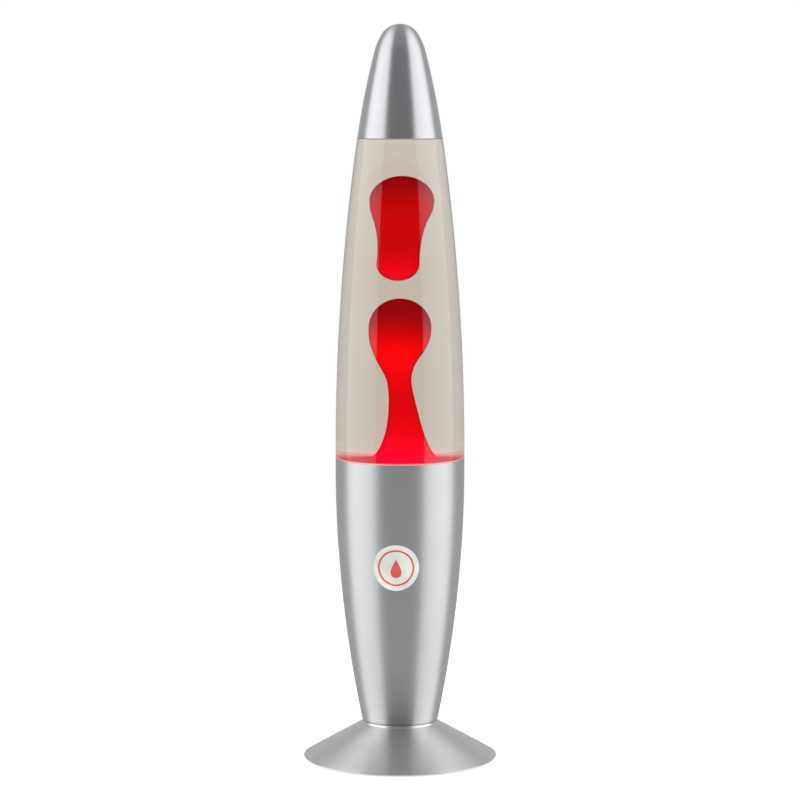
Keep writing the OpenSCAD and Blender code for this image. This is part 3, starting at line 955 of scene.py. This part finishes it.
@dataclass
class Globe:
    """The glass, its closure and its liquid."""

    finishes: Finishes
    waist: Waist
    shell: BaseShell
    bottom: float = 115.6 * MM
    corner: float = 6 * MM
    clearance: float = 0.9 * MM
    wall: float = 2 * MM
    ledge: float = 347 * MM
    ledge_width: float = 1.75 * MM
    ledge_glass: float = 0.3 * MM
    neck_radius: float = 13 * MM
    shoulder: float = 361 * MM
    neck_top: float = 371 * MM
    liquid_top: float = 353 * MM
    overlap: float = 0.15 * MM

    def pocket(self, z: float) -> float:
        """Outer radius of the glass where it stands inside the base."""
        return self.waist.base(z) - self.shell.thickness - self.clearance

    def outline(self, step: Sequence[Point] = ()) -> list[Point]:
        """The glass's outline, from the middle of the bottom to the top of the neck.

        Args:
            step: The step out at the base's rim, or nothing for the smoother inside.

        Returns:
            The outline's points.
        """
        flat = self.pocket(self.bottom + self.corner) - self.corner
        rim = self.shell.rim
        low, high = (step[0][1], step[-1][1]) if step else (rim - 9 * MM, rim + 16 * MM)
        path = [(0.0, self.bottom), (flat * 0.5, self.bottom)]
        path += arc((flat, self.bottom + self.corner), self.corner, -90, -4, 14)
        path += [(self.pocket(z), z) for z in spread(self.bottom + self.corner + 2 * MM, low, 20)]
        path += list(step[1:-1])
        inner = self.waist.globe(self.ledge) - self.ledge_width
        path += [(self.waist.globe(z), z) for z in spread(high, self.ledge - 0.4 * MM, 70)]
        path += rounded([(self.waist.globe(self.ledge - 0.4 * MM), self.ledge - 0.4 * MM),
                         (self.waist.globe(self.ledge), self.ledge), (inner, self.ledge + 0.1 * MM),
                         (inner - 0.4 * MM, self.ledge + 3 * MM)], 0.2 * MM, 2)[1:]
        path.append((inner - 4.4 * MM, self.ledge + 9.4 * MM))
        bend = 2 * MM
        path += arc((self.neck_radius + bend, self.shoulder), bend, 230, 180, 8)
        return path + [(self.neck_radius, self.neck_top)]

    def inside(self, overlap: float = 0.0) -> list[Point]:
        """The glass's inner face, from the middle of the bottom to the top of the neck.

        Args:
            overlap: How far into the glass to draw it.

        Returns:
            The face's points, with a clean corner under the ledge.
        """
        path = inset(self.outline(), self.wall - overlap)
        below = [p for p in path if p[1] < self.ledge - 3 * MM]
        above = [p for p in path if p[1] > self.ledge + 1 * MM]
        height = self.ledge - self.ledge_glass + overlap
        corner = (self.waist.globe(height) - 1.01 * (self.wall - overlap), height)
        shelf = (above[0][0] + 0.1 * MM, height)
        return below[:-1] + rounded([below[-1], corner, shelf, above[0]], 0.3 * MM, 3) + above[1:]

    def rim_step(self) -> list[Point]:
        """The step from the pocket out to the full width, just above the base's rim."""
        low, high = self.shell.rim + 0.2 * MM, self.shell.rim + 0.35 * MM
        full = self.waist.globe(high)
        return rounded([(self.pocket(low - 1 * MM), low - 1 * MM), (self.pocket(low), low), (full, high),
                        (full, high + 1 * MM)], 0.4 * MM, 4)

    def build(self) -> None:
        """Builds and dresses the glass, the closure and the liquid."""
        section = self.outline(self.rim_step()) + self.inside()[::-1]
        glass = lathe("globe_blown", section, 256, 60.0)
        # The glass's step over the base's rim gets a painted glow in place of the bulb's light from below.
        clear = ClearGlass("globe_glass", painted_glow_height=self.shell.rim + 0.27 * MM).make()
        dress(glass, clear, "globe_glass", Body.GLOBE, "globe_glass")
        room = [p for p in self.inside(self.overlap) if p[1] < self.liquid_top - 1.2 * MM]
        edge = self.waist.globe(self.ledge) - self.ledge_width - self.wall - 1.2 * MM
        meniscus = arc((edge - 1.0 * MM, self.liquid_top + 1.0 * MM), 1.0 * MM, 0, -90, 6)
        liquid = lathe("liquid_fill", room + meniscus + [(0.0, self.liquid_top)], 192, 60.0)
        dress(liquid, self.finishes.liquid, "liquid", Body.GLOBE, "liquid")
        self.crown()
        dress_node("crown_liner", self.finishes.liner)
        dress_node("wire_coil", self.finishes.zinc)

    def crown(self) -> None:
        """The crimped closure on the neck, with its flutes."""
        low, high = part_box("crown_cap")
        flutes, sides = 21, 252
        outer = [(16.0 * MM, low.z), (15.3 * MM, low.z + 1.2 * MM), (14.7 * MM, low.z + 2.6 * MM),
                 (14.3 * MM, low.z + 4.4 * MM), (13.4 * MM, high.z - 0.45 * MM),
                 (12.0 * MM, high.z - 0.05 * MM),
                 (9.0 * MM, high.z), (0.0, high.z)]
        section = sheet(outer, 0.3 * MM)
        depth = 0.45 * MM
        rings = []
        for r, z in section:
            wave = max(0.0, min(1.0, (low.z + 4.2 * MM - z) / (4.2 * MM)))
            ring = ring_of(r, z, sides)
            if len(ring) > 1:
                for i, point in enumerate(ring):
                    fold = 0.5 * math.cos(2 * math.pi * flutes * i / sides) - 0.5
                    point.xy *= 1 + depth * wave * fold / r
            rings.append(ring)
        dress(skin("crown_crimped", rings, crease=50.0), self.finishes.crown, "crown_lacquer", Body.GLOBE,
              "crown_cap")


@dataclass(frozen=True)
class Station:
    """One level of a wax shape.

    Attributes:
        height: The level's height.
        radius: The wax's radius there.
        sway: How far its middle lies to the right of the axis.
    """

    height: float
    radius: float
    sway: float


def flowing(stations: Sequence[Station], steps: int) -> list[Station]:
    """Runs a smooth curve through the levels of a wax shape.

    Args:
        stations: The levels, from the lowest up.
        steps: How many levels the curve gives between two stations.

    Returns:
        The levels of the smooth shape.
    """
    made = []
    last = len(stations) - 1
    for i in range(last):
        four = [stations[max(i - 1, 0)], stations[i], stations[i + 1], stations[min(i + 2, last)]]
        for k in range(steps):
            t = k / steps
            made.append(Station(*(_between_two(t, [getattr(s, name) for s in four])
                                  for name in ("height", "radius", "sway"))))
    return made + [stations[-1]]


def _between_two(t: float, values: Sequence[float]) -> float:
    """A point on the curve through four values, between the middle two."""
    before, start, end, after = values
    slope_in, slope_out = (end - before) / 2, (after - start) / 2
    return ((2 * t**3 - 3 * t**2 + 1) * start + (t**3 - 2 * t**2 + t) * slope_in
            + (-2 * t**3 + 3 * t**2) * end + (t**3 - t**2) * slope_out)


@dataclass
class Wax:
    """The pool, the standing column and the free blob."""

    globe: Globe
    pool: float = 168.5 * MM
    skin: float = 0.1 * MM
    sides: int = 128
    crease: float = 70.0

    def column_stations(self) -> list[Station]:
        """The levels of the column, from where it leaves the pool to below its head."""
        levels = ((169.0, 17.5, 1.6), (171.0, 13.4, 2.0), (174.5, 11.1, 2.0), (180.0, 9.2, 2.0),
                  (187.0, 7.5, 1.8),
                  (196.0, 6.2, 1.3), (205.0, 5.3, 0.5), (213.0, 5.2, -0.4), (219.0, 6.6, -1.1),
                  (224.0, 8.6, -1.3),
                  (229.5, 11.0, -0.7), (234.8, 12.6, -0.3))
        return [Station(z * MM, r * MM, x * MM) for z, r, x in levels]

    def blob_stations(self) -> list[Station]:
        """The levels of the blob between its two round ends."""
        levels = ((277.0, 9.0, -0.9), (285.0, 8.95, -0.5), (293.0, 9.6, -0.1), (300.0, 11.0, 0.2),
                  (306.0, 12.9, 0.6), (311.5, 13.6, 0.8))
        return [Station(z * MM, r * MM, x * MM) for z, r, x in levels]

    def dome(self, middle: Station, rise: float, steps: int = 16) -> list[list[Vector]]:
        """A round end on a level: rings up or down to a point.

        Args:
            middle: The level that the end starts from.
            rise: The end's height, negative for one that hangs down.
            steps: How many rings it gets.

        Returns:
            The rings, from the level to the point.
        """
        rings = []
        for i in range(1, steps + 1):
            turn = math.pi / 2 * i / steps
            radius = middle.radius * math.cos(turn) if i < steps else 0.0
            rings.append(ring_of(radius, middle.height + rise * math.sin(turn), self.sides, middle.sway))
        return rings

    def build(self) -> None:
        """Builds and dresses the wax."""
        self.column()
        self.blob()

    def column(self) -> None:
        """The pool with its column and head, one piece."""
        inside = inset(self.globe.outline(), self.globe.wall + self.skin)
        room = [p for p in inside if p[1] < self.pool - 1.5 * MM]
        above = next(p for p in inside if p[1] > self.pool)
        share = (self.pool - room[-1][1]) / (above[1] - room[-1][1])
        edge = room[-1][0] + (above[0] - room[-1][0]) * share
        surface = rounded([room[-1], (edge, self.pool + 0.9 * MM),
                           (edge - 1.2 * MM, self.pool + 0.1 * MM),
                           (27 * MM, self.pool), (21 * MM, self.pool + 0.1 * MM)], 0.5 * MM)
        stations = flowing(self.column_stations(), 5)
        head = Station(242.0 * MM, 13.15 * MM, 0.0)
        rings = [ring_of(r, z, self.sides) for r, z in room[:-1] + surface]
        rings += [ring_of(s.radius, s.height, self.sides, s.sway) for s in stations]
        rings += [ring_of(13.1 * MM, 238.5 * MM, self.sides, -0.1 * MM),
                  ring_of(head.radius, head.height, self.sides)]
        rings += self.dome(head, 16.4 * MM)
        piece = skin("wax_standing", rings, crease=self.crease)
        # Painted light: the glow is bright at the pool and under the head and darker up the column and at
        # the top, standing in for the bulb's light from below.
        stops = ((0.0, (0.9, 0.0, 0.04)), (0.1, (0.82, 0.0, 0.006)), (0.24, (0.6, 0.0, 0.001)),
                 (0.42, (0.54, 0.0, 0.0)),
                 (0.56, (0.76, 0.0, 0.001)), (0.68, (0.83, 0.0, 0.001)), (0.79, (0.46, 0.0, 0.0)),
                 (0.89, (0.21, 0.0, 0.0)),
                 (1.0, (0.2, 0.0, 0.0)))
        wax = GlowingWax("wax_standing", self.pool, 258.6 * MM, stops, pool_reach=22 * MM).make()
        dress(piece, wax, "wax", Body.GLOBE, "wax_column")

    def blob(self) -> None:
        """The free blob."""
        stations = flowing(self.blob_stations(), 6)
        rings = self.dome(stations[0], -8.9 * MM)[::-1]
        rings += [ring_of(s.radius, s.height, self.sides, s.sway) for s in stations]
        rings += self.dome(stations[-1], 14.2 * MM)
        piece = skin("wax_free", rings, crease=self.crease)
        # Painted light: the blob's glow is brightest at its bottom and darker towards its top, standing in
        # for the bulb's light from below.
        stops = ((0.0, (0.85, 0.0, 0.009)), (0.16, (0.6, 0.0, 0.002)), (0.36, (0.41, 0.0, 0.0)),
                 (0.58, (0.5, 0.0, 0.0)),
                 (0.75, (0.38, 0.0, 0.0)), (0.9, (0.23, 0.0, 0.0)), (1.0, (0.2, 0.0, 0.0)))
        wax = GlowingWax("wax_free", 268.0 * MM, 325.8 * MM, stops).make()
        dress(piece, wax, "wax", Body.FREE_WAX, "wax_blob")


@dataclass
class Cap:
    """The spun cap: a round nose, a short blend and a long flank, each tangent to the next."""

    finishes: Finishes
    height: float = 410 * MM
    edge: float = 347.1 * MM
    nose_radius: float = 11.85 * MM
    nose_end: float = 31.0
    blend_radius: float = 37 * MM
    blend_end: float = 14.3
    flank_radius: float = 450 * MM
    thickness: float = 0.9 * MM

    def outline(self) -> list[Point]:
        """The outer face, from the edge up to the tip."""
        nose = Vector((0.0, self.height - self.nose_radius))
        blend = nose - self._toward(self.nose_end) * (self.blend_radius - self.nose_radius)
        flank = blend - self._toward(self.blend_end) * (self.flank_radius - self.blend_radius)
        start = math.degrees(math.asin((self.edge - flank.y) / self.flank_radius))
        path = arc(tuple(flank), self.flank_radius, start, self.blend_end, 30)
        path += arc(tuple(blend), self.blend_radius, self.blend_end + 1, self.nose_end, 14)
        return path + arc(tuple(nose), self.nose_radius, self.nose_end + 3, 90, 22)

    @staticmethod
    def _toward(degrees: float) -> Vector:
        """The unit vector at an angle in the outline's plane."""
        return Vector((math.cos(math.radians(degrees)), math.sin(math.radians(degrees))))

    def build(self) -> None:
        """Builds and dresses the cap."""
        path = self.outline()
        inner = inset(path, self.thickness)
        lip = rounded([inner[1], inner[0], path[0], path[1]], 0.3 * MM)
        section = [(0.0, path[-1][1])] + path[-2:1:-1] + lip[::-1] + inner[2:-1] + [(0.0, inner[-1][1])]
        dress(lathe("cap_spun", section, 256), self.finishes.spun_cap_painted_shade, "spun_aluminium", Body.CAP,
              "top_cap")


@dataclass
class Bulb:
    """The reflector bulb."""

    finishes: Finishes
    radius: float = 19.5 * MM
    neck: float = 60 * MM
    wall: float = 0.7 * MM
    thread_crest: float = 6.93 * MM
    thread_pitch: float = 2.82 * MM

    def envelope(self) -> list[Point]:
        """The glass's outer face, from the neck to the middle of the front."""
        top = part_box("bulb_glass")[1].z
        front = 24 * MM
        neck_radius = 8 * MM
        path = [(neck_radius, self.neck), (neck_radius, self.neck + 3 * MM)]
        path += [(neck_radius + (self.radius - neck_radius) * math.sin(math.pi / 2 * t),
                  self.neck + (4 + 24 * t) * MM)
                 for t in spread(0.0, 1.0, 24)]
        path += arc((self.radius - 4 * MM, self.neck + 30 * MM), 4 * MM, 0, 42, 10)
        return path + arc((0.0, top - front), front, 50, 90, 14)

    def build(self) -> None:
        """Builds and dresses the bulb's pieces."""
        path = self.envelope()
        section = [(0.0, path[-1][1])] + path[-2::-1] + inset(path,
                                                              self.wall)[:-1] + [(0.0,
                                                                                  path[-1][1] - self.wall)]
        glass = lathe("bulb_envelope", section, 128, 60.0)
        lit = LitGlass("bulb_glass", self.neck + 31 * MM, 2.2).make()
        dress(glass, lit, "bulb_glass", Body.BULB, "bulb_glass")
        self.screw_cap()
        dress_node("bulb_insulator", self.finishes.vitrite)
        dress_node("bulb_stem", self.finishes.bulb_clear)
        dress_node("bulb_filament", self.finishes.tungsten)
        dress_node("bulb_lead_wires", self.finishes.zinc)
        dress_node("bulb_tip_contact", self.finishes.solder)

    def screw_cap(self) -> None:
        """The screw cap, its thread a true right-hand helix."""
        low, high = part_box("bulb_screw_cap")
        sides, depth, metal = 96, 0.32 * MM, 0.3 * MM
        thread_low, thread_high = low.z + 2.2 * MM, low.z + 16 * MM
        heights = [low.z, low.z + 0.75 * MM] + spread(thread_low, thread_high, 90) + [57.6 * MM,
                                                                                      59.4 * MM, high.z]
        plain = [5.1 * MM, 6.1 * MM] + [self.thread_crest - depth] * 91 + [6.75 * MM, 8.5 * MM, 8.5 * MM]
        rings = []
        for inward in (0.0, metal):
            face = []
            for radius, z in zip(plain, heights):
                fade = max(0.0, min(1.0, (z - low.z - 1 * MM) / (1.5 * MM),
                                    (thread_high + 0.5 * MM - z) / (1.5 * MM)))
                ring = ring_of(radius - inward, z, sides)
                for i, point in enumerate(ring):
                    phase = 2 * math.pi * (z / self.thread_pitch - i / sides)
                    point.xy *= 1 + depth * fade * math.cos(phase) / radius
                face.append(ring)
            rings += face[::-1] if inward else face
        dress(skin("bulb_thread", rings, True, 50.0), self.finishes.nickel, "nickel_brass", Body.BULB,
              "bulb_screw_cap")


@dataclass
class Fittings:
    """The lampholder, the tube with its nuts, and the wiring, all kept from the frame."""

    finishes: Finishes
    plated: tuple[str, ...] = ("lower_washer", "upper_washer", "threaded_tube", "lampholder_screws",
                               "terminal_block_screws")
    brass: tuple[str, ...] = ("lower_tube_nut", "upper_tube_nut", "lampholder_thread_shell",
                              "lampholder_contact",
                              "lampholder_terminals")
    black: tuple[str, ...] = ("lampholder_dome", "lampholder_skirt")
    ivory: tuple[str, ...] = ("lampholder_core", "terminal_block")

    def build(self) -> None:
        """Gives each kept node its finish."""
        kinds = ((self.plated, self.finishes.zinc), (self.brass, self.finishes.brass),
                 (self.black, self.finishes.black), (self.ivory, self.finishes.ivory),
                 (("live_lead",), self.finishes.brown), (("neutral_lead",), self.finishes.blue))
        for names, material in kinds:
            for name in names:
                dress_node(name, material)


# ---------------------------------------------------------------- the studio


@dataclass
class Studio:
    """The camera, the floor, two tall soft lights and pale surroundings."""

    lens: float = 132.75
    sensor: float = 36.0
    camera_place: tuple[float, float, float] = (0.0, -1.6365, 0.3638)
    tilt: float = 84.347
    floor_radius: float = 0.8
    light_distance: float = 1.2
    light_turn: float = 76.0
    light_width: float = 1.55
    light_height: float = 2.9
    light_middle: float = 0.85
    light_radiance: float = 1.4
    backdrop: Colour = (0.6, 0.6, 0.6)
    dark_front: Colour = (0.04, 0.04, 0.042)
    below_front: Colour = (1.45, 1.45, 1.45)
    above_front: Colour = (0.5, 0.5, 0.51)
    seen_through: Colour = (0.72, 0.675, 0.605)

    def camera(self) -> None:
        """Makes the camera, level with the lamp's shoulder and looking slightly down."""
        data = bpy.data.cameras.new("camera")
        data.lens, data.sensor_width = self.lens, self.sensor
        camera = new_object("camera", data)
        camera.location = self.camera_place
        camera.rotation_euler = (math.radians(self.tilt), 0.0, 0.0)
        bpy.context.scene.camera = camera

    def floor(self) -> None:
        """Makes the plain pale floor."""
        bm = bmesh.new()
        bmesh.ops.create_circle(bm, cap_ends=True, radius=self.floor_radius, segments=96)
        floor = finish_mesh(bm, "floor")
        floor.visible_glossy = floor.visible_transmission = floor.visible_shadow = False
        shader = Shader("floor")
        shader.put(Base_Color=(0.93, 0.93, 0.93), Roughness=0.9, Specular_IOR_Level=0.0,
                   Emission_Strength=0.5,
                   Emission_Color=WHITE)
        floor.data.materials.append(shader.material)
        floor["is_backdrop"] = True

    def softbox(self, side: int) -> None:
        """Makes one tall soft light, on the right for side 1 and on the left for side -1."""
        data = bpy.data.lights.new(f"softbox_{side}", "AREA")
        data.shape, data.size, data.size_y = "RECTANGLE", self.light_width, self.light_height
        data.energy = self.light_radiance * math.pi * self.light_width * self.light_height
        light = new_object(data.name, data)
        light.visible_transmission = False
        turn = math.radians(self.light_turn)
        light.location = (side * self.light_distance * math.sin(turn),
                          -self.light_distance * math.cos(turn), self.light_middle)
        light.rotation_euler = (math.pi / 2, 0.0, side * turn)

    def surroundings(self) -> None:
        """Makes the world: white where seen directly, darker behind the camera in reflections."""
        world = bpy.data.worlds.new("surroundings")
        world.use_nodes = True
        bpy.context.scene.world = world
        graph = Graph(world.node_tree)
        _, y, z = graph.axes("Generated")
        rays = graph.add("ShaderNodeLightPath").outputs
        front = graph.mix(graph.between(z, -0.3, -0.6), self.dark_front, self.below_front)
        front = graph.mix(graph.between(z, 0.35, 0.6), front, self.above_front)
        shade = graph.mix(graph.between(y, -0.75, -0.1), front, self.backdrop)
        straight = graph.math("SUBTRACT", rays["Is Transmission Ray"], rays["Glossy Depth"])
        straight.node.use_clamp = True
        through = graph.mix(straight, shade, self.seen_through)
        seen = graph.mix(rays["Is Camera Ray"], through, WHITE)
        graph.feed(seen, graph.nodes["Background"].inputs["Color"])

    def build(self) -> None:
        """Sets up everything that isn't the lamp."""
        self.camera()
        self.floor()
        for side in (-1, 1):
            self.softbox(side)
        self.surroundings()
        scene = bpy.context.scene
        scene.view_settings.view_transform = "Standard"
        scene.cycles.max_bounces = 24
        scene.cycles.transmission_bounces = 20
        scene.cycles.glossy_bounces = 8
        scene.cycles.use_denoising = True


def main() -> None:
    """Builds the studio and the lamp, from the foot up."""
    logging.basicConfig(level=logging.INFO, format="%(name)s: %(message)s")
    Studio().build()
    finishes, waist = Finishes(), Waist()
    shell = BaseShell(finishes, waist)
    globe = Globe(finishes, waist, shell)
    builders: list[object] = [Foot(finishes), shell, Label(finishes, waist), Fittings(finishes),
                              Bulb(finishes),
                              globe, Wax(globe), Cap(finishes)]
    for builder in builders:
        before = {o.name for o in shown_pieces()}
        builder.build()
        made = sorted({o.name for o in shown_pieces()} - before)
        log.info("%s: %s", type(builder).__name__, ", ".join(made) or "kept nodes dressed")


if __name__ == "__main__":
    main()
